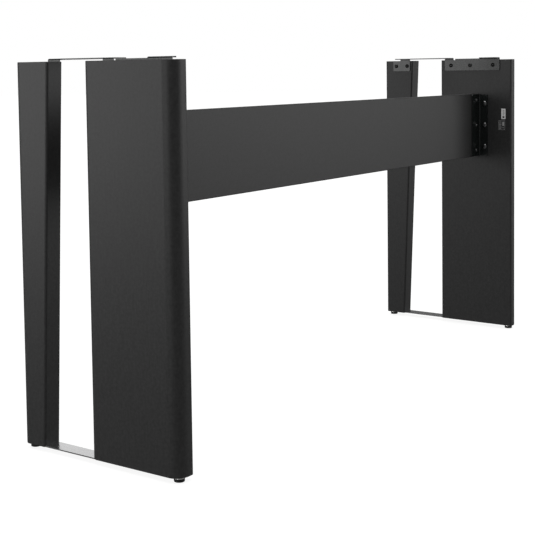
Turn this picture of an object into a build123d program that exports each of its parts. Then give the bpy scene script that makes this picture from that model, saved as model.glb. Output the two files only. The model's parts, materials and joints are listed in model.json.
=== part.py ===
from build123d import *
import os

# Instrument stand: two side frames (slim front leg + wide rear panel) and a back board.
# Millimetres. +Z up, +X to the player's right, +Y to the rear. Origin on the floor, at
# the centre of the outline. Each side frame is built at +X and mirrored for the left.

# Overall
WIDTH = 1250.0
DEPTH = 326.0
FOOT_HEIGHT = 8.0
WOOD_HEIGHT = 618.0

# Front leg and rear panel
WOOD_THICKNESS = 34.0
LEG_DEPTH_TOP = 73.5
LEG_DEPTH_BOTTOM = 47.5
PANEL_DEPTH = 177.5
PANEL_CORNER_RADIUS = 21.0
FRONT_CORNER_RADIUS = 12.0
EDGE_RADIUS = 4.0
END_RADIUS = 0.8

# Back board
BOARD_HEIGHT = 145.0
BOARD_THICKNESS = 18.0
BOARD_REAR_SETBACK = 80.0
BOARD_TOP_BELOW_WOOD_TOP = 79.0
BOARD_EDGE_RADIUS = 1.5

# Top bracket: one bent sheet per side, joining leg and panel and carrying the instrument
SHEET = 2.0
BEND_RADIUS = 1.2
FLANGE_REACH = 32.0
FLANGE_DROP = 24.5
STRAP_ABOVE_WOOD = 5.0
LEG_TAB = (21.5, 66.5)
LEG_NECK = (41.0, 66.5)
PANEL_TAB = (159.5, 297.5)
PANEL_NECK = (159.5, 181.5)
REAR_NECK = (249.5, 297.5)
MIDDLE_LIP = (186.0, REAR_NECK[0])
MIDDLE_LIP_HEIGHT = 3.0
TAB_CORNER_RADIUS = 2.5
STRAP_CORNER_RADIUS = 4.0
REAR_TAB_REACH = 22.0
REAR_TAB_CORNER_RADIUS = 18.0
BRACKET_SCREW_DROP = 12.5
LEG_SCREWS = (30.0, 59.0)
PANEL_SCREWS = (175.5, 224.0, 281.0)
INSTRUMENT_HOLES = (60.0, 276.0)
INSTRUMENT_HOLE_RADIUS = 3.25
INSTRUMENT_HOLE_INSET = 18.0

# Board bracket: bent angle behind each end of the board
ANGLE_SHEET = 2.0
ANGLE_HEIGHT = 142.0
ANGLE_BOARD_FLANGE = 40.0
ANGLE_PANEL_FLANGE = 22.0
ANGLE_BEND_RADIUS = 1.5
ANGLE_CORNER_RADIUS = 3.0
BOARD_SCREW_INSET = 19.0
BOARD_SCREW_PITCH = 58.0
PANEL_BOLT_INSET = 14.5
PANEL_BOLT_PITCH = 50.0

# Bottom plate: flat bar let into the underside of leg and panel
PLATE_THICKNESS = 2.0
PLATE_WIDTH = 27.0
PLATE_OUTER_INSET = 2.0
PLATE_IN_LEG = 22.0
PLATE_IN_PANEL = 46.0
PLATE_CLEARANCE = 0.1
PLATE_LEG_SCREW_SPREAD = 11.0
PLATE_LEG_SCREW_SETBACK = 11.0
PLATE_PANEL_SCREWS = (12.0, 34.0)
PLATE_SCREW_LENGTH = 18.0
PLATE_SCREW_HEAD_RADIUS = 3.9

# Levelling feet: pad under the cap of a threaded stud that runs in an insert in the wood
PAD_RADIUS = 8.3
PAD_HEIGHT = 5.0
PAD_EDGE = 0.6
CAP_RADIUS = 8.2
CAP_TOP_RADIUS = 7.9
CAP_THICKNESS = 1.8
CAP_EDGE = 0.4
COLLAR_RADIUS = 5.0
COLLAR_GAP = 0.2
STUD_RADIUS = 3.0
STUD_ABOVE_FLOOR = 23.0
STUD_IN_PAD = 3.0
STUD_CHAMFER = 0.6
STUD_CLEARANCE = 0.05
INSERT_RADIUS = 4.6
INSERT_FLANGE_RADIUS = 5.6
INSERT_FLANGE_THICKNESS = 1.0
INSERT_LENGTH = 13.0
FOOT_BORE_DEPTH = 18.0
FRONT_FOOT_SETBACK = 10.0
REAR_FOOT_SETBACK = 14.5

# Fasteners
SCREW_RADIUS = 2.0
SCREW_HEAD_RADIUS = 4.5
SCREW_HEAD_HEIGHT = 2.6
BRACKET_SCREW_LENGTH = 20.0
BOARD_SCREW_LENGTH = 15.0
BOLT_RADIUS = 3.0
BOLT_HEAD_RADIUS = 5.4
BOLT_HEAD_HEIGHT = 3.2
BOLT_LENGTH = 15.0
BOLT_INSERT_RADIUS = 4.6
BOLT_INSERT_LENGTH = 13.0
RIM_SHARE = 0.35
SCREW_TIP = 3.0
TIP_RADIUS = 0.4
FIT = 0.05
HOLE_CLEARANCE = 0.4
PILOT_EXTRA = 1.0
CROSS_WIDTH = 1.0
CROSS_LENGTH = 4.4
RECESS_DEPTH = 1.6
HEX_RADIUS = 2.3

# Labels on the inner face of the left panel
LABEL_THICKNESS = 0.2
WHITE_LABEL = (10.5, 24.0)
WHITE_LABEL_CENTRE = (306.5, 500.5)
GREY_LABEL = (18.0, 23.0)
GREY_LABEL_CENTRE = (302.5, 474.5)
LABEL_CORNER_RADIUS = 1.0

# Modelling allowances
OVERCUT = 1.0      # how far a cutting tool runs past the face that it opens
TOLERANCE = 0.01   # slack when an edge is picked by its length or place

# Worked out from the above
FRONT = -DEPTH / 2
REAR = DEPTH / 2
OUTER = WIDTH / 2
INNER = OUTER - WOOD_THICKNESS
MIDDLE = OUTER - WOOD_THICKNESS / 2
WOOD_BOTTOM = FOOT_HEIGHT
WOOD_TOP = WOOD_BOTTOM + WOOD_HEIGHT
STRAP_TOP = WOOD_TOP + STRAP_ABOVE_WOOD
PANEL_FRONT = REAR - PANEL_DEPTH
BOARD_REAR = REAR - BOARD_REAR_SETBACK
BOARD_TOP = WOOD_TOP - BOARD_TOP_BELOW_WOOD_TOP
BOARD_MIDDLE = BOARD_TOP - BOARD_HEIGHT / 2
BRACKET_SCREW_Z = WOOD_TOP - BRACKET_SCREW_DROP
STRAP_INNER = INNER - FLANGE_REACH
PLATE_OUTER = OUTER - PLATE_OUTER_INSET
PLATE_INNER = PLATE_OUTER - PLATE_WIDTH
PLATE_MIDDLE = (PLATE_OUTER + PLATE_INNER) / 2
PLATE_FRONT = FRONT + LEG_DEPTH_BOTTOM - PLATE_IN_LEG
PLATE_REAR = PANEL_FRONT + PLATE_IN_PANEL
LEG_BOTTOM_REAR = FRONT + LEG_DEPTH_BOTTOM

INWARD = (-1, 0, 0)
REARWARD = (0, 1, 0)
UP = (0, 0, 1)
DOWN = (0, 0, -1)


def block(x, y, z):
    """Box from three (low, high) ranges."""
    size = Box(x[1] - x[0], y[1] - y[0], z[1] - z[0])
    return Pos((x[0] + x[1]) / 2, (y[0] + y[1]) / 2, (z[0] + z[1]) / 2) * size


def from_front(span):
    """Depths measured from the front edge, as Y values."""
    return tuple(FRONT + depth for depth in span)


def aim(point, direction):
    """Location whose +Z leaves point along direction."""
    return Plane(origin=point, z_dir=direction).location


def rod(radius, low, high):
    """Upright cylinder between two heights."""
    return Pos(0, 0, (low + high) / 2) * Cylinder(radius, high - low)


def corner_edge(solid, x_side, y_side):
    """Full-height edge that lies furthest out towards one corner of the plan."""
    upright = solid.edges().filter_by(lambda edge: edge.length > WOOD_HEIGHT - TOLERANCE)
    return upright.sort_by(lambda edge: x_side * edge.center().X + y_side * edge.center().Y)[-1]


def round_uprights(solid, outer_rear_radius):
    """Round the four upright edges, the outer front one more than the inner ones."""
    corners = (
        (1, -1, FRONT_CORNER_RADIUS),
        (1, 1, outer_rear_radius),
        (-1, -1, EDGE_RADIUS),
        (-1, 1, EDGE_RADIUS),
    )
    for x_side, y_side, radius in corners:
        solid = fillet(corner_edge(solid, x_side, y_side), radius)
    return solid


def soften_ends(solid, radius):
    """Round the outlines of the top and bottom faces."""
    levels = solid.edges().group_by(Axis.Z)
    return fillet(levels[0] + levels[-1], radius)


# Fasteners, head above z = 0 and shank below

def cross_recess(head_height):
    depth = (head_height - RECESS_DEPTH, head_height + OVERCUT)
    half_width = CROSS_WIDTH / 2
    half_length = CROSS_LENGTH / 2
    along_x = block((-half_length, half_length), (-half_width, half_width), depth)
    along_y = block((-half_width, half_width), (-half_length, half_length), depth)
    return along_x + along_y


def hex_recess(head_height):
    hexagon = extrude(RegularPolygon(HEX_RADIUS, 6), RECESS_DEPTH + OVERCUT)
    return Pos(0, 0, head_height - RECESS_DEPTH) * hexagon


def domed_head(radius, height):
    """Part of a sphere over a short straight rim, turned about Z."""
    rim = height * RIM_SHARE
    rise = height - rim
    sphere = (radius**2 + rise**2) / (2 * rise)
    half_way = (radius / 2, 0, height - sphere + (sphere**2 - radius**2 / 4) ** 0.5)
    dome = ThreePointArc((radius, 0, rim), half_way, (0, 0, height))
    outline = Polyline((0, 0, height), (0, 0, 0), (radius, 0, 0), (radius, 0, rim))
    return revolve(make_face(outline + dome), Axis.Z)


def wood_screw(length):
    head = domed_head(SCREW_HEAD_RADIUS, SCREW_HEAD_HEIGHT) - cross_recess(SCREW_HEAD_HEIGHT)
    shank = rod(SCREW_RADIUS, SCREW_TIP - length, 0)
    tip = Pos(0, 0, SCREW_TIP / 2 - length) * Cone(TIP_RADIUS, SCREW_RADIUS, SCREW_TIP)
    return head + shank + tip


def flat_head_screw(length):
    head_height = PLATE_THICKNESS
    taper = Pos(0, 0, -head_height / 2) * Cone(SCREW_RADIUS, PLATE_SCREW_HEAD_RADIUS, head_height)
    shank = rod(SCREW_RADIUS, SCREW_TIP - length, -head_height)
    tip = Pos(0, 0, SCREW_TIP / 2 - length) * Cone(TIP_RADIUS, SCREW_RADIUS, SCREW_TIP)
    return taper + shank + tip - cross_recess(0)


def machine_bolt(length):
    head = domed_head(BOLT_HEAD_RADIUS, BOLT_HEAD_HEIGHT) - hex_recess(BOLT_HEAD_HEIGHT)
    return head + rod(BOLT_RADIUS, -length, 0)


def pilot(radius, length):
    """Blind hole, with its mouth at z = 0."""
    return rod(radius + FIT, -length - PILOT_EXTRA, OVERCUT)


def placed(solid, points, direction):
    """Copies of a solid at each point, as one list."""
    return [aim(point, direction) * solid for point in points]


def cut_all(solid, tools):
    for tool in tools:
        solid -= tool
    return solid


# Fastener places on the right-hand side

def bracket_points(depths):
    return [(INNER - SHEET, FRONT + depth, BRACKET_SCREW_Z) for depth in depths]


def board_screw_points():
    x = INNER - BOARD_SCREW_INSET
    y = BOARD_REAR + ANGLE_SHEET
    return [(x, y, BOARD_MIDDLE + step * BOARD_SCREW_PITCH) for step in (-1, 0, 1)]


def panel_bolt_points():
    y = BOARD_REAR + PANEL_BOLT_INSET
    x = INNER - ANGLE_SHEET
    return [(x, y, BOARD_MIDDLE + step * PANEL_BOLT_PITCH) for step in (-1, 0, 1)]


def leg_plate_points():
    y = LEG_BOTTOM_REAR - PLATE_LEG_SCREW_SETBACK
    half = PLATE_LEG_SCREW_SPREAD / 2
    return [(PLATE_MIDDLE + side * half, y, WOOD_BOTTOM) for side in (-1, 1)]


def panel_plate_points():
    return [(PLATE_MIDDLE, PANEL_FRONT + depth, WOOD_BOTTOM) for depth in PLATE_PANEL_SCREWS]


FEET = {
    "front": (MIDDLE, FRONT + FRONT_FOOT_SETBACK),
    "rear": (MIDDLE, REAR - REAR_FOOT_SETBACK),
}


# Wood

def plate_rebate():
    gap = PLATE_CLEARANCE
    return block(
        (PLATE_INNER - gap, PLATE_OUTER + gap),
        (PLATE_FRONT - gap, PLATE_REAR + gap),
        (WOOD_BOTTOM - OVERCUT, WOOD_BOTTOM + PLATE_THICKNESS),
    )


def foot_bore(place):
    x, y = place
    mouth = WOOD_BOTTOM - OVERCUT
    bore = rod(STUD_RADIUS + STUD_CLEARANCE + FIT, mouth, WOOD_BOTTOM + FOOT_BORE_DEPTH)
    seat = rod(INSERT_RADIUS, mouth, WOOD_BOTTOM + INSERT_LENGTH)
    flange = rod(INSERT_FLANGE_RADIUS, mouth, WOOD_BOTTOM + INSERT_FLANGE_THICKNESS)
    return Pos(x, y, 0) * (bore + seat + flange)


def front_leg():
    outline = Polyline(
        (INNER, FRONT, WOOD_BOTTOM),
        (INNER, LEG_BOTTOM_REAR, WOOD_BOTTOM),
        (INNER, FRONT + LEG_DEPTH_TOP, WOOD_TOP),
        (INNER, FRONT, WOOD_TOP),
        close=True,
    )
    leg = extrude(make_face(outline), WOOD_THICKNESS, dir=(1, 0, 0))
    leg = round_uprights(leg, EDGE_RADIUS)
    leg = soften_ends(leg, END_RADIUS)
    leg -= plate_rebate()
    leg -= foot_bore(FEET["front"])
    bracket_holes = pilot(SCREW_RADIUS, BRACKET_SCREW_LENGTH)
    plate_holes = pilot(SCREW_RADIUS, PLATE_SCREW_LENGTH)
    leg = cut_all(leg, placed(bracket_holes, bracket_points(LEG_SCREWS), INWARD))
    return cut_all(leg, placed(plate_holes, leg_plate_points(), DOWN))


def rear_panel():
    panel = block((INNER, OUTER), (PANEL_FRONT, REAR), (WOOD_BOTTOM, WOOD_TOP))
    panel = round_uprights(panel, PANEL_CORNER_RADIUS)
    panel = soften_ends(panel, END_RADIUS)
    panel -= plate_rebate()
    panel -= foot_bore(FEET["rear"])
    bracket_holes = pilot(SCREW_RADIUS, BRACKET_SCREW_LENGTH)
    plate_holes = pilot(SCREW_RADIUS, PLATE_SCREW_LENGTH)
    insert_holes = rod(BOLT_INSERT_RADIUS, -BOLT_LENGTH - PILOT_EXTRA, OVERCUT)
    panel = cut_all(panel, placed(bracket_holes, bracket_points(PANEL_SCREWS), INWARD))
    panel = cut_all(panel, placed(plate_holes, panel_plate_points(), DOWN))
    return cut_all(panel, placed(insert_holes, panel_bolt_points(), INWARD))


def back_board():
    board = block(
        (-INNER, INNER),
        (BOARD_REAR - BOARD_THICKNESS, BOARD_REAR),
        (BOARD_TOP - BOARD_HEIGHT, BOARD_TOP),
    )
    board = fillet(board.edges().filter_by(Axis.X), BOARD_EDGE_RADIUS)
    holes = placed(pilot(SCREW_RADIUS, BOARD_SCREW_LENGTH), board_screw_points(), REARWARD)
    board = cut_all(board, holes)
    return cut_all(board, [mirror(hole, about=Plane.YZ) for hole in holes])


# Steel

def nearest_edge(solid, axis, point):
    """The edge along axis that passes closest to a point."""
    mark = Vertex(*point)
    return solid.edges().filter_by(axis).sort_by(lambda edge: edge.distance_to(mark))[0]


def bend(solid, axis, outside, inside, sheet, radius):
    """Round the outside and inside of a sharp sheet corner to one bend."""
    solid = fillet(nearest_edge(solid, axis, outside), radius + sheet)
    return fillet(nearest_edge(solid, axis, inside), radius)


def neck(span, inner):
    """Bent stretch of the top bracket over one span of depths, reaching in to X = inner."""
    depths = from_front(span)
    drop = block((INNER - SHEET, INNER), depths, (WOOD_TOP - FLANGE_DROP, STRAP_TOP))
    reach = block((inner, INNER), depths, (STRAP_TOP - SHEET, STRAP_TOP))
    outside = (INNER, depths[0], STRAP_TOP)
    inside = (INNER - SHEET, depths[0], STRAP_TOP - SHEET)
    return bend(drop + reach, Axis.Y, outside, inside, SHEET, BEND_RADIUS)


def drop_tab(span, top):
    """Flat stretch of the top bracket against the inner face of the wood."""
    return block((INNER - SHEET, INNER), from_front(span), (WOOD_TOP - FLANGE_DROP, top))


def across_sheet(edge, sheet):
    """True for an edge that runs straight through a sheet."""
    return abs(edge.length - sheet) < TOLERANCE


def lower_tab_corner(edge):
    """True for the edges through the sheet at the bottom of the drop tabs."""
    return across_sheet(edge, SHEET) and edge.center().Z < WOOD_TOP - FLANGE_DROP + TOLERANCE


def round_inner_end(solid, inner, radius):
    """Round the corners of the end that reaches in to X = inner."""
    corners = solid.edges().filter_by(
        lambda edge: across_sheet(edge, SHEET) and edge.center().X < inner + TOLERANCE
    )
    return fillet(corners, radius)


def top_bracket():
    strap_back = INNER - BEND_RADIUS - SHEET
    strap_span = from_front((LEG_NECK[0], PANEL_NECK[1]))
    strap = block((STRAP_INNER, strap_back), strap_span, (STRAP_TOP - SHEET, STRAP_TOP))
    bracket = drop_tab(LEG_TAB, WOOD_TOP) + neck(LEG_NECK, STRAP_INNER) + strap
    bracket += drop_tab(PANEL_TAB, WOOD_TOP) + neck(PANEL_NECK, STRAP_INNER)
    bracket = round_inner_end(bracket, STRAP_INNER, STRAP_CORNER_RADIUS)
    rear_inner = INNER - REAR_TAB_REACH
    bracket += round_inner_end(neck(REAR_NECK, rear_inner), rear_inner, REAR_TAB_CORNER_RADIUS)
    bracket += drop_tab(MIDDLE_LIP, WOOD_TOP + MIDDLE_LIP_HEIGHT)
    bracket = fillet(bracket.edges().filter_by(lower_tab_corner), TAB_CORNER_RADIUS)
    screw_hole = rod(SCREW_RADIUS + HOLE_CLEARANCE, -SHEET - OVERCUT, OVERCUT)
    screw_points = bracket_points(LEG_SCREWS + PANEL_SCREWS)
    bracket = cut_all(bracket, placed(screw_hole, screw_points, INWARD))
    bolt_hole = rod(INSTRUMENT_HOLE_RADIUS, -SHEET - OVERCUT, OVERCUT)
    hole_x = STRAP_INNER + INSTRUMENT_HOLE_INSET
    bolt_points = [(hole_x, FRONT + depth, STRAP_TOP) for depth in INSTRUMENT_HOLES]
    return cut_all(bracket, placed(bolt_hole, bolt_points, UP))


def free_corner(edge):
    """True for the edges through the sheet at the free ends of the angle's flanges."""
    centre = edge.center()
    at_board_end = centre.X < INNER - ANGLE_BOARD_FLANGE + TOLERANCE
    at_panel_end = centre.Y > BOARD_REAR + ANGLE_PANEL_FLANGE - TOLERANCE
    return across_sheet(edge, ANGLE_SHEET) and (at_board_end or at_panel_end)


def board_bracket():
    """Angle with one flange on the board's rear face and one on the panel's inner face."""
    heights = (BOARD_MIDDLE - ANGLE_HEIGHT / 2, BOARD_MIDDLE + ANGLE_HEIGHT / 2)
    on_board = block((INNER - ANGLE_BOARD_FLANGE, INNER), (BOARD_REAR, BOARD_REAR + ANGLE_SHEET), heights)
    on_panel = block((INNER - ANGLE_SHEET, INNER), (BOARD_REAR, BOARD_REAR + ANGLE_PANEL_FLANGE), heights)
    outside = (INNER, BOARD_REAR, BOARD_MIDDLE)
    inside = (INNER - ANGLE_SHEET, BOARD_REAR + ANGLE_SHEET, BOARD_MIDDLE)
    bracket = bend(on_board + on_panel, Axis.Z, outside, inside, ANGLE_SHEET, ANGLE_BEND_RADIUS)
    bracket = fillet(bracket.edges().filter_by(free_corner), ANGLE_CORNER_RADIUS)
    screw_hole = rod(SCREW_RADIUS + HOLE_CLEARANCE, -ANGLE_SHEET - OVERCUT, OVERCUT)
    bolt_hole = rod(BOLT_RADIUS + HOLE_CLEARANCE, -ANGLE_SHEET - OVERCUT, OVERCUT)
    bracket = cut_all(bracket, placed(screw_hole, board_screw_points(), REARWARD))
    return cut_all(bracket, placed(bolt_hole, panel_bolt_points(), INWARD))


def bottom_plate():
    heights = (WOOD_BOTTOM, WOOD_BOTTOM + PLATE_THICKNESS)
    plate = block((PLATE_INNER, PLATE_OUTER), (PLATE_FRONT, PLATE_REAR), heights)
    head = Cone(SCREW_RADIUS + FIT, PLATE_SCREW_HEAD_RADIUS + FIT, PLATE_THICKNESS)
    countersink = Pos(0, 0, -PLATE_THICKNESS / 2) * head
    points = leg_plate_points() + panel_plate_points()
    return cut_all(plate, placed(countersink, points, DOWN))


# Feet

def foot_pad():
    pad = rod(PAD_RADIUS, 0, PAD_HEIGHT)
    pad = fillet(pad.edges(), PAD_EDGE)
    return pad - rod(STUD_RADIUS + FIT, PAD_HEIGHT - STUD_IN_PAD, PAD_HEIGHT + OVERCUT)


def foot_stud():
    cap_top = PAD_HEIGHT + CAP_THICKNESS
    collar_top = WOOD_BOTTOM - COLLAR_GAP
    thread = rod(STUD_RADIUS, PAD_HEIGHT - STUD_IN_PAD, STUD_ABOVE_FLOOR)
    thread = chamfer(thread.edges().group_by(Axis.Z)[-1], STUD_CHAMFER)
    cap = Pos(0, 0, PAD_HEIGHT + CAP_THICKNESS / 2) * Cone(CAP_RADIUS, CAP_TOP_RADIUS, CAP_THICKNESS)
    cap = fillet(cap.edges().group_by(Axis.Z)[-1], CAP_EDGE)
    return thread + cap + rod(COLLAR_RADIUS, cap_top, collar_top)


def foot_insert():
    top = WOOD_BOTTOM + INSERT_LENGTH
    body = rod(INSERT_RADIUS - FIT, WOOD_BOTTOM, top)
    flange = rod(INSERT_FLANGE_RADIUS - FIT, WOOD_BOTTOM, WOOD_BOTTOM + INSERT_FLANGE_THICKNESS)
    bore = rod(STUD_RADIUS + STUD_CLEARANCE, WOOD_BOTTOM - OVERCUT, top + OVERCUT)
    return body + flange - bore


def bolt_inserts():
    """Threaded sleeves in the panel, starting flush with its inner face behind the angle."""
    mouth = -ANGLE_SHEET
    end = mouth - BOLT_INSERT_LENGTH
    sleeve = rod(BOLT_INSERT_RADIUS - FIT, end, mouth)
    sleeve -= rod(BOLT_RADIUS + FIT, end - OVERCUT, mouth + OVERCUT)
    return placed(sleeve, panel_bolt_points(), INWARD)


def label(size, centre):
    """Thin sticker on the inner face of the left panel; size and centre are (depth, height)."""
    across, tall = size
    depth, height = centre
    sticker = Pos(LABEL_THICKNESS / 2 - INNER, FRONT + depth, height) * Box(LABEL_THICKNESS, across, tall)
    return fillet(sticker.edges().filter_by(Axis.X), LABEL_CORNER_RADIUS)


def side_nodes():
    """Every node of the right-hand side frame, as lists of solids."""
    wood = wood_screw(BRACKET_SCREW_LENGTH)
    plate_screw = flat_head_screw(PLATE_SCREW_LENGTH)
    nodes = {
        "front_leg": [front_leg()],
        "rear_panel": [rear_panel()],
        "top_bracket": [top_bracket()],
        "bottom_plate": [bottom_plate()],
        "board_bracket": [board_bracket()],
        "leg_bracket_screws": placed(wood, bracket_points(LEG_SCREWS), INWARD),
        "panel_bracket_screws": placed(wood, bracket_points(PANEL_SCREWS), INWARD),
        "board_flange_screws": placed(wood_screw(BOARD_SCREW_LENGTH), board_screw_points(), REARWARD),
        "panel_flange_bolts": placed(machine_bolt(BOLT_LENGTH), panel_bolt_points(), INWARD),
        "panel_flange_inserts": bolt_inserts(),
        "bottom_plate_screws": placed(plate_screw, leg_plate_points() + panel_plate_points(), DOWN),
    }
    for name, (x, y) in FEET.items():
        nodes[name + "_foot_pad"] = [Pos(x, y, 0) * foot_pad()]
        nodes[name + "_foot_stud"] = [Pos(x, y, 0) * foot_stud()]
        nodes[name + "_foot_insert"] = [Pos(x, y, 0) * foot_insert()]
    return nodes


def all_nodes():
    nodes = {
        "back_board": [back_board()],
        "white_label": [label(WHITE_LABEL, WHITE_LABEL_CENTRE)],
        "grey_label": [label(GREY_LABEL, GREY_LABEL_CENTRE)],
    }
    for name, solids in side_nodes().items():
        nodes["right_" + name] = solids
        nodes["left_" + name] = [mirror(solid, about=Plane.YZ) for solid in solids]
    return nodes


def main():
    os.makedirs("parts", exist_ok=True)
    for name, solids in all_nodes().items():
        shape = solids[0] if len(solids) == 1 else Compound(children=solids)
        export_step(shape, f"parts/{name}.step")


main()
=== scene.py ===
import json
import math

import bmesh
import bpy
from mathutils import Matrix, Vector


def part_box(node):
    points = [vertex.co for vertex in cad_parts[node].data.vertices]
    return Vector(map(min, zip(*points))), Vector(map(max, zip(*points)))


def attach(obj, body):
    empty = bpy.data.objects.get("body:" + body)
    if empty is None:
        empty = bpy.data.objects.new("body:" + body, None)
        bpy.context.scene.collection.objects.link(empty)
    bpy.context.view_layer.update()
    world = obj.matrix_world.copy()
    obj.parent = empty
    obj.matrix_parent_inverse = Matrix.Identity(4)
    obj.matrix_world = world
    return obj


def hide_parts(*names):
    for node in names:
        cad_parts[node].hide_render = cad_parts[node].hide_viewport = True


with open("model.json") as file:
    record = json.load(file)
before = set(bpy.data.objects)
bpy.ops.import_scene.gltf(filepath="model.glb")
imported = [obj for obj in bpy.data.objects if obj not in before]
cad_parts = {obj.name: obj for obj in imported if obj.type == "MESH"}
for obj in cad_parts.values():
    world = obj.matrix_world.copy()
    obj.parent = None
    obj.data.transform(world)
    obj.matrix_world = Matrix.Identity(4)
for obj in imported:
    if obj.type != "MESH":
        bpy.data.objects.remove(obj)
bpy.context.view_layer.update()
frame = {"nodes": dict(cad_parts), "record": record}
BODY_OF = {node: body for body, nodes in frame["record"]["behaviour"]["bodies"].items() for node in nodes}
SIDES = ("left", "right")
FEET = [f"{side}_{end}_foot" for side in SIDES for end in ("front", "rear")]
MM = 0.001
X, Y, Z = 0, 1, 2

# Camera: behind the player's right-hand corner, just below the top of the wood
CAMERA_PLACE = Vector((1.9165, 1.2275, 0.6080))
CAMERA_AZIMUTH = math.radians(125.415)
CAMERA_PITCH = math.radians(3.683)
CAMERA_ROLL = math.radians(-0.765)
CAMERA_LENS = 78.137
CAMERA_SHIFT = (0.0208, -0.2287)
CAMERA_SENSOR = 36
CAMERA_NEAREST = 0.05

# Light: an even grey surround, low softboxes and a wide overhead light
AMBIENT = 0.2
BACKDROP = 1.0
OVERHEAD_STRENGTH = 3.0
OVERHEAD_ANGLE = math.radians(70)
LIGHT_CENTRE = Vector((0, 0, 0.33))
LIGHT_DISTANCE = 3.2
LIGHT_DIAMETER = 1.7
# name, azimuth from +X towards +Y and elevation in degrees, brightness
SOFTBOXES = (
    ("left_softbox", 320, 8, 2.35),
    ("right_softbox", 140, 8, 1.35),
    ("rear_softbox", 120, 8, 1.15),
    ("side_softbox", 0, 8, 1.4),
    ("front_softbox", 240, 15, 1.2),
)
FLOOR_RADIUS = 30
FLOOR_STEPS = 96
FLOOR_ROUGHNESS = 0.95
FLOOR_GAP = 0.2 * MM
FLOOR_GLOW = 0.9
FLOOR_COLOUR = 0.15

# Edges of the softened copies: corners closer than WELD are joined, bends under FLAT are
# taken as flat, and bends over SHARP are rounded by the edge width
WELD = 0.005 * MM
FLAT = math.radians(0.5)
SHARP = math.radians(35)
SHEET_EDGE = 0.28 * MM
HEAD_EDGE = 0.12 * MM
BEVEL_STEPS = 2

# Levelling foot: outlines are (radius, height) in millimetres, heights from the floor
PAD_OUTLINE = (
    (0, 0), (7.3, 0), (7.8, 0.1), (8.12, 0.35), (8.28, 0.8), (8.3, 1.5), (8.22, 1.62), (8.22, 1.82),
    (8.29, 1.95), (8.28, 4.2), (8.17, 4.7), (7.85, 4.95), (7.3, 5.0), (3.0, 5.0), (3.0, 2.0), (0, 2.0),
)
CAP_OUTLINE = (
    (0, 5.0), (7.9, 5.0), (8.15, 5.05), (8.18, 5.2), (7.92, 6.5), (7.8, 6.7), (7.5, 6.79), (6.9, 6.7),
    (6.2, 6.65), (5.4, 6.7), (5.2, 6.8), (0, 6.8),
)
COLLAR_CORNER = 5.0
COLLAR_CHAMFER = 0.35
COLLAR_HEIGHTS = (6.75, 7.8)
COLLAR_SIDES = 6
THREAD_HEIGHTS = (2.0, 23.0)
THREAD_PITCH = 1.0
THREAD_RADII = (3.0, 3.0, 2.72, 2.45, 2.45, 2.45, 2.72)
THREAD_END_RADIUS = 2.4
TURN_STEPS = 64

# Marks printed on the two labels, as (across, up, width, height) in millimetres from the centre
MARK_HEIGHT = 0.02 * MM
WHITE_MARKS = (
    (-0.4, 3.0, 0.9, 13.0), (2.0, 4.2, 0.5, 10.0), (0.2, -7.4, 4.4, 4.2),
)
GREY_MARKS = (
    (0, 10.5, 15.6, 0.6), (0, -10.5, 15.6, 0.6), (-7.5, 0, 0.6, 20.4), (7.5, 0, 0.6, 20.4),
    (-3.2, 7.4, 6.2, 1.1), (-3.6, 4.4, 5.4, 1.1), (-3.2, 1.4, 6.2, 1.1), (-3.8, -1.6, 5.0, 1.1),
    (-3.2, -4.6, 6.2, 1.1), (-3.6, -7.6, 5.4, 1.1), (3.6, 3.0, 4.6, 9.4), (3.6, -6.0, 4.6, 1.1),
)


# Materials: every pattern is sized in metres of the part's frame

def new_node(material, kind):
    return material.node_tree.nodes.new(kind)


def connect(material, output, socket):
    material.node_tree.links.new(output, socket)


def shader_of(material):
    return material.node_tree.nodes["Principled BSDF"]


def new_material(name, metallic=0.0, ior=1.5):
    material = bpy.data.materials.new(name)
    material.use_nodes = True
    shader = shader_of(material)
    shader.inputs["Metallic"].default_value = metallic
    shader.inputs["IOR"].default_value = ior
    return material


def noise(material, size, detail=3.0):
    """Noise whose marks are about size long (in mm) along X, Y and Z."""
    place = new_node(material, "ShaderNodeTexCoord")
    mapping = new_node(material, "ShaderNodeMapping")
    mapping.inputs["Scale"].default_value = [1 / (length * MM) for length in size]
    texture = new_node(material, "ShaderNodeTexNoise")
    texture.inputs["Scale"].default_value = 1.0
    texture.inputs["Detail"].default_value = detail
    connect(material, place.outputs["Object"], mapping.inputs["Vector"])
    connect(material, mapping.outputs["Vector"], texture.inputs["Vector"])
    return texture.outputs["Fac"]


def mix(material, first, second, share):
    """Blend of two patterns; share is the second one's part."""
    node = new_node(material, "ShaderNodeMix")
    node.inputs["Factor"].default_value = share
    connect(material, first, node.inputs["A"])
    connect(material, second, node.inputs["B"])
    return node.outputs["Result"]


def colour_by(material, pattern, dark, light):
    ramp = new_node(material, "ShaderNodeValToRGB")
    low, high = ramp.color_ramp.elements
    low.position, low.color = 0.3, (*dark, 1)
    high.position, high.color = 0.7, (*light, 1)
    connect(material, pattern, ramp.inputs["Fac"])
    connect(material, ramp.outputs["Color"], shader_of(material).inputs["Base Color"])


def roughness_by(material, pattern, smooth, rough):
    span = new_node(material, "ShaderNodeMapRange")
    for socket, value in zip(span.inputs[1:5], (0.3, 0.7, smooth, rough)):
        socket.default_value = value
    connect(material, pattern, span.inputs["Value"])
    connect(material, span.outputs["Result"], shader_of(material).inputs["Roughness"])


def bump_by(material, pattern, strength, depth):
    bump = new_node(material, "ShaderNodeBump")
    bump.inputs["Strength"].default_value = strength
    bump.inputs["Distance"].default_value = depth * MM
    connect(material, pattern, bump.inputs["Height"])
    connect(material, bump.outputs["Normal"], shader_of(material).inputs["Normal"])


def along(axis, length, across):
    """Size of a mark that is long on one axis and narrow on the others."""
    size = [across] * 3
    size[axis] = length
    return size


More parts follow.
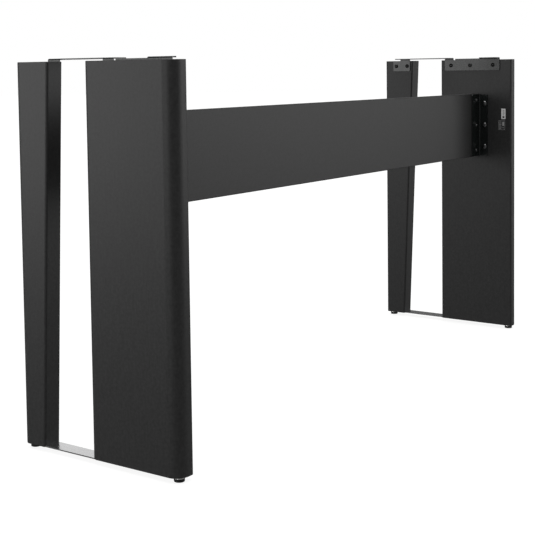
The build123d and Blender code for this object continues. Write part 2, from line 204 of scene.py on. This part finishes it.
def laminate(name, axis):
    """Matt black foil with a fine pressed grain along one axis."""
    material = new_material(name)
    grain = noise(material, along(axis, 26, 0.9), 4)
    mottle = noise(material, (4.5, 4.5, 4.5), 2)
    surface = mix(material, grain, mottle, 0.6)
    colour_by(material, surface, (0.011, 0.011, 0.011), (0.029, 0.029, 0.029))
    roughness_by(material, surface, 0.42, 0.48)
    bump_by(material, grain, 0.12, 0.05)
    return material


def coated_steel():
    """Semi-gloss black paint with a slight orange peel."""
    material = new_material("coated_steel", ior=1.55)
    cloud = noise(material, (14, 14, 14), 2)
    peel = noise(material, (0.9, 0.9, 0.9), 2)
    surface = mix(material, cloud, peel, 0.4)
    colour_by(material, surface, (0.005, 0.0065, 0.006), (0.009, 0.0115, 0.011))
    roughness_by(material, surface, 0.19, 0.25)
    bump_by(material, peel, 0.1, 0.02)
    return material


def satin_steel():
    """Polished flat bar with faint streaks along its length."""
    material = new_material("satin_steel", metallic=1.0)
    streaks = noise(material, along(Y, 60, 0.35), 3)
    cloud = noise(material, (18, 18, 18), 2)
    surface = mix(material, streaks, cloud, 0.4)
    colour_by(material, surface, (0.34, 0.34, 0.345), (0.42, 0.42, 0.42))
    roughness_by(material, surface, 0.19, 0.28)
    bump_by(material, streaks, 0.1, 0.02)
    return material


def zinc_plate():
    """Bright zinc with faint crystals and scuffs."""
    material = new_material("zinc_plate", metallic=1.0)
    crystals = noise(material, (2.2, 2.2, 2.2), 2)
    scuffs = noise(material, (0.4, 0.4, 0.4), 3)
    surface = mix(material, crystals, scuffs, 0.4)
    colour_by(material, surface, (0.82, 0.82, 0.8), (0.92, 0.92, 0.91))
    roughness_by(material, surface, 0.2, 0.32)
    bump_by(material, scuffs, 0.1, 0.02)
    return material


def black_oxide(name, dark, light):
    """Blackened steel of the fastener heads."""
    material = new_material(name, metallic=1.0)
    cloud = noise(material, (1.5, 1.5, 1.5), 3)
    colour_by(material, cloud, dark, light)
    roughness_by(material, cloud, 0.2, 0.3)
    return material


def moulded_plastic():
    """Matt black plastic with a fine moulded grain."""
    material = new_material("moulded_plastic")
    grain = noise(material, (0.35, 0.35, 0.35), 3)
    colour_by(material, grain, (0.003, 0.003, 0.003), (0.008, 0.008, 0.008))
    roughness_by(material, grain, 0.55, 0.68)
    bump_by(material, grain, 0.3, 0.05)
    return material


def printed_sheet(name, dark, light, rough, ior=1.5):
    """Paper, foil or ink: a fine fibre over a flat colour."""
    material = new_material(name, ior=ior)
    fibre = noise(material, (0.5, 0.5, 1.2), 3)
    colour_by(material, fibre, dark, light)
    roughness_by(material, fibre, rough - 0.05, rough + 0.05)
    return material


# Shapes

def finish_mesh(shape, name):
    """Turn a bmesh into a smooth-shaded mesh and free it."""
    bmesh.ops.recalc_face_normals(shape, faces=shape.faces)
    for face in shape.faces:
        face.smooth = True
    mesh = bpy.data.meshes.new(name)
    shape.to_mesh(mesh)
    shape.free()
    return mesh


def add_piece(name, mesh, node, materials):
    """Piece that stands for a CAD node and rides on its body."""
    piece = bpy.data.objects.new(name, mesh)
    bpy.context.scene.collection.objects.link(piece)
    for material in materials:
        mesh.materials.append(material)
    weighted = piece.modifiers.new("weighted", "WEIGHTED_NORMAL")
    weighted.weight = 100
    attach(piece, BODY_OF[node])
    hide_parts(node)
    return piece


def softened(node, width, material):
    """Copy of a CAD node with its sharp edges rounded off."""
    source = frame["nodes"][node].data
    shape = bmesh.new()
    shape.from_mesh(source)
    bmesh.ops.remove_doubles(shape, verts=shape.verts, dist=WELD)
    bmesh.ops.dissolve_limit(shape, angle_limit=FLAT, verts=shape.verts, edges=shape.edges)
    sharp = [edge for edge in shape.edges if edge.is_manifold and edge.calc_face_angle() > SHARP]
    bmesh.ops.bevel(
        shape, geom=sharp, offset=width, segments=BEVEL_STEPS, profile=0.5, affect="EDGES", clamp_overlap=True
    )
    mesh = finish_mesh(shape, node + "_soft")
    return add_piece(node + "_detail", mesh, node, [material])


def foot_centre(node):
    """Point on the floor plane under the middle of a foot's node."""
    low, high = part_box(node)
    return Vector(((low.x + high.x) / 2, (low.y + high.y) / 2, 0))


def turned_point(shape, centre, radius, height, angle):
    """Corner at a radius and height in mm, turned about an upright axis."""
    offset = Vector((radius * math.cos(angle), radius * math.sin(angle), height)) * MM
    return shape.verts.new(centre + offset)


def lathe(shape, outline, centre, steps=TURN_STEPS):
    """Turn an outline of (radius, height) in mm into rings of flat-sided faces."""
    rings = []
    for radius, height in outline:
        angles = [2 * math.pi * step / steps for step in range(steps)]
        rings.append([turned_point(shape, centre, radius, height, angle) for angle in angles])
    for lower, upper in zip(rings, rings[1:]):
        for step in range(steps):
            after = (step + 1) % steps
            shape.faces.new((lower[step], lower[after], upper[after], upper[step]))
    return rings


def hexagon_collar(shape, centre):
    """Closed collar with chamfered ends."""
    low, high = COLLAR_HEIGHTS
    flat = COLLAR_CORNER - COLLAR_CHAMFER
    outline = (
        (flat, low),
        (COLLAR_CORNER, low + COLLAR_CHAMFER),
        (COLLAR_CORNER, high - COLLAR_CHAMFER),
        (flat, high),
    )
    rings = lathe(shape, outline, centre, COLLAR_SIDES)
    shape.faces.new(rings[0])
    shape.faces.new(rings[-1])


def screw_thread(shape, centre):
    """Helical ridge, tapered to a plain ring at both ends."""
    low, high = THREAD_HEIGHTS
    points = len(THREAD_RADII)
    count = int((high - low) / THREAD_PITCH + 2) * points
    columns = []
    for step in range(TURN_STEPS + 1):
        turn = step / TURN_STEPS
        angle = 2 * math.pi * turn
        column = []
        for index in range(count):
            height = low + THREAD_PITCH * (index / points + turn - 1)
            height = min(max(height, low), high)
            taper = THREAD_END_RADIUS + min(height - low, high - height)
            radius = min(THREAD_RADII[index % points], taper)
            column.append(turned_point(shape, centre, radius, height, angle))
        columns.append(column)
    for left, right in zip(columns, columns[1:]):
        for index in range(count - 1):
            shape.faces.new((left[index], right[index], right[index + 1], left[index + 1]))


def foot_stud(foot, material):
    node = foot + "_stud"
    centre = foot_centre(node)
    shape = bmesh.new()
    screw_thread(shape, centre)
    lathe(shape, CAP_OUTLINE, centre)
    hexagon_collar(shape, centre)
    bmesh.ops.remove_doubles(shape, verts=shape.verts, dist=WELD)
    add_piece(node + "_detail", finish_mesh(shape, node + "_threaded"), node, [material])


def foot_pad(foot, material):
    node = foot + "_pad"
    centre = foot_centre(node)
    shape = bmesh.new()
    lathe(shape, PAD_OUTLINE, centre)
    bmesh.ops.remove_doubles(shape, verts=shape.verts, dist=WELD)
    add_piece(node + "_detail", finish_mesh(shape, node + "_moulded"), node, [material])


def add_mark(shape, centre, size):
    """Thin raised plate on a label, facing +X."""
    matrix = Matrix.Translation(centre) @ Matrix.Diagonal((*size, 1))
    made = bmesh.ops.create_cube(shape, size=1, matrix=matrix)
    for face in {face for vert in made["verts"] for face in vert.link_faces}:
        face.material_index = 1


def sticker(node, marks, sheet, ink):
    """Label with a generic pattern of bars in place of its print."""
    low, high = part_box(node)
    centre = (low + high) / 2
    shape = bmesh.new()
    shape.from_mesh(frame["nodes"][node].data)
    bmesh.ops.remove_doubles(shape, verts=shape.verts, dist=WELD)
    for face in shape.faces:
        face.material_index = 0
    for across, up, width, height in marks:
        place = Vector((high.x, centre.y + across * MM, centre.z + up * MM))
        add_mark(shape, place, (MARK_HEIGHT, width * MM, height * MM))
    add_piece(node + "_detail", finish_mesh(shape, node + "_printed"), node, [sheet, ink])


# Studio

def camera_axes():
    """Right, up and forward of the camera, in the part's frame."""
    flat = math.cos(CAMERA_PITCH)
    forward = Vector((
        -math.sin(CAMERA_AZIMUTH) * flat,
        math.cos(CAMERA_AZIMUTH) * flat,
        -math.sin(CAMERA_PITCH),
    ))
    level_right = forward.cross(Vector((0, 0, 1))).normalized()
    level_up = level_right.cross(forward)
    right = level_right * math.cos(CAMERA_ROLL) + level_up * math.sin(CAMERA_ROLL)
    up = level_up * math.cos(CAMERA_ROLL) - level_right * math.sin(CAMERA_ROLL)
    return right, up, forward


def add_camera():
    right, up, forward = camera_axes()
    camera = bpy.data.cameras.new("camera")
    camera.lens = CAMERA_LENS
    camera.sensor_width = CAMERA_SENSOR
    camera.shift_x, camera.shift_y = CAMERA_SHIFT
    camera.clip_start = CAMERA_NEAREST
    holder = bpy.data.objects.new("camera", camera)
    axes = Matrix((right, up, -forward)).transposed()
    holder.matrix_world = Matrix.Translation(CAMERA_PLACE) @ axes.to_4x4()
    bpy.context.scene.collection.objects.link(holder)
    bpy.context.scene.camera = holder


def add_softbox(name, azimuth, elevation, brightness):
    """Round light that faces the stand; angles in degrees."""
    azimuth = math.radians(azimuth)
    elevation = math.radians(elevation)
    flat = math.cos(elevation)
    outward = Vector((flat * math.cos(azimuth), flat * math.sin(azimuth), math.sin(elevation)))
    lamp = bpy.data.lights.new(name, "AREA")
    lamp.shape = "DISK"
    lamp.size = LIGHT_DIAMETER
    lamp.energy = brightness * (math.pi * LIGHT_DIAMETER / 2) ** 2
    holder = bpy.data.objects.new(name, lamp)
    holder.location = LIGHT_CENTRE + outward * LIGHT_DISTANCE
    holder.rotation_euler = outward.to_track_quat("Z", "Y").to_euler()
    holder.visible_camera = False
    bpy.context.scene.collection.objects.link(holder)


def add_overhead():
    lamp = bpy.data.lights.new("overhead", "SUN")
    lamp.energy = OVERHEAD_STRENGTH
    lamp.angle = OVERHEAD_ANGLE
    bpy.context.scene.collection.objects.link(bpy.data.objects.new("overhead", lamp))


def add_world():
    """Even grey surround for the object, and plain white where the camera looks past it."""
    world = bpy.data.worlds.new("studio")
    bpy.context.scene.world = world
    world.use_nodes = True
    nodes = world.node_tree.nodes
    links = world.node_tree.links
    surround = nodes["Background"]
    surround.inputs["Color"].default_value = (1, 1, 1, 1)
    surround.inputs["Strength"].default_value = AMBIENT
    backdrop = nodes.new("ShaderNodeBackground")
    backdrop.inputs["Color"].default_value = (1, 1, 1, 1)
    backdrop.inputs["Strength"].default_value = BACKDROP
    path = nodes.new("ShaderNodeLightPath")
    choose = nodes.new("ShaderNodeMixShader")
    links.new(path.outputs["Is Camera Ray"], choose.inputs["Fac"])
    links.new(surround.outputs["Background"], choose.inputs[1])
    links.new(backdrop.outputs["Background"], choose.inputs[2])
    links.new(choose.outputs["Shader"], nodes["World Output"].inputs["Surface"])


def add_floor():
    """White paper floor that glows a little, so that only faint shadows are left on it."""
    shape = bmesh.new()
    bmesh.ops.create_circle(shape, cap_ends=True, segments=FLOOR_STEPS, radius=FLOOR_RADIUS)
    mesh = bpy.data.meshes.new("floor")
    shape.to_mesh(mesh)
    shape.free()
    material = new_material("floor")
    shader = shader_of(material)
    shader.inputs["Base Color"].default_value = (FLOOR_COLOUR, FLOOR_COLOUR, FLOOR_COLOUR, 1)
    shader.inputs["Roughness"].default_value = FLOOR_ROUGHNESS
    shader.inputs["Specular IOR Level"].default_value = 0.0
    shader.inputs["Emission Color"].default_value = (1, 1, 1, 1)
    shader.inputs["Emission Strength"].default_value = FLOOR_GLOW
    mesh.materials.append(material)
    floor = bpy.data.objects.new("floor", mesh)
    floor.location.z = -FLOOR_GAP
    floor.visible_diffuse = False
    floor.visible_glossy = False
    bpy.context.scene.collection.objects.link(floor)


def paint(node, material):
    """Give a CAD node that stays in view its finish."""
    holder = frame["nodes"][node]
    for material_slot in holder.material_slots:
        material_slot.material = material


def build_pieces():
    upright = laminate("laminate_upright", Z)
    lengthwise = laminate("laminate_lengthwise", X)
    coated = coated_steel()
    satin = satin_steel()
    zinc = zinc_plate()
    oxide = black_oxide("black_oxide", (0.12, 0.12, 0.122), (0.19, 0.19, 0.192))
    dull_oxide = black_oxide("dull_oxide", (0.03, 0.03, 0.03), (0.05, 0.05, 0.05))
    plastic = moulded_plastic()
    paper = printed_sheet("white_paper", (0.9, 0.9, 0.89), (0.96, 0.96, 0.95), 0.25, ior=1.75)
    foil = printed_sheet("dark_foil", (0.016, 0.016, 0.016), (0.026, 0.026, 0.026), 0.4)
    black_ink = printed_sheet("black_ink", (0.02, 0.02, 0.02), (0.04, 0.04, 0.04), 0.5)
    grey_ink = printed_sheet("grey_ink", (0.34, 0.34, 0.34), (0.44, 0.44, 0.44), 0.4)
    paint("back_board", lengthwise)
    for side in SIDES:
        paint(side + "_front_leg", upright)
        paint(side + "_rear_panel", upright)
        paint(side + "_panel_flange_inserts", zinc)
        for sheet in ("_top_bracket", "_board_bracket"):
            softened(side + sheet, SHEET_EDGE, coated)
        softened(side + "_bottom_plate", SHEET_EDGE, satin)
        softened(side + "_bottom_plate_screws", HEAD_EDGE, zinc)
        for heads in ("_leg_bracket_screws", "_panel_bracket_screws"):
            softened(side + heads, HEAD_EDGE, dull_oxide)
        for heads in ("_board_flange_screws", "_panel_flange_bolts"):
            softened(side + heads, HEAD_EDGE, oxide)
    for foot in FEET:
        paint(foot + "_insert", zinc)
        foot_stud(foot, zinc)
        foot_pad(foot, plastic)
    sticker("white_label", WHITE_MARKS, paper, black_ink)
    sticker("grey_label", GREY_MARKS, foil, grey_ink)


bpy.context.scene.view_settings.view_transform = "Standard"
add_camera()
add_world()
add_overhead()
for settings in SOFTBOXES:
    add_softbox(*settings)
add_floor()
build_pieces()
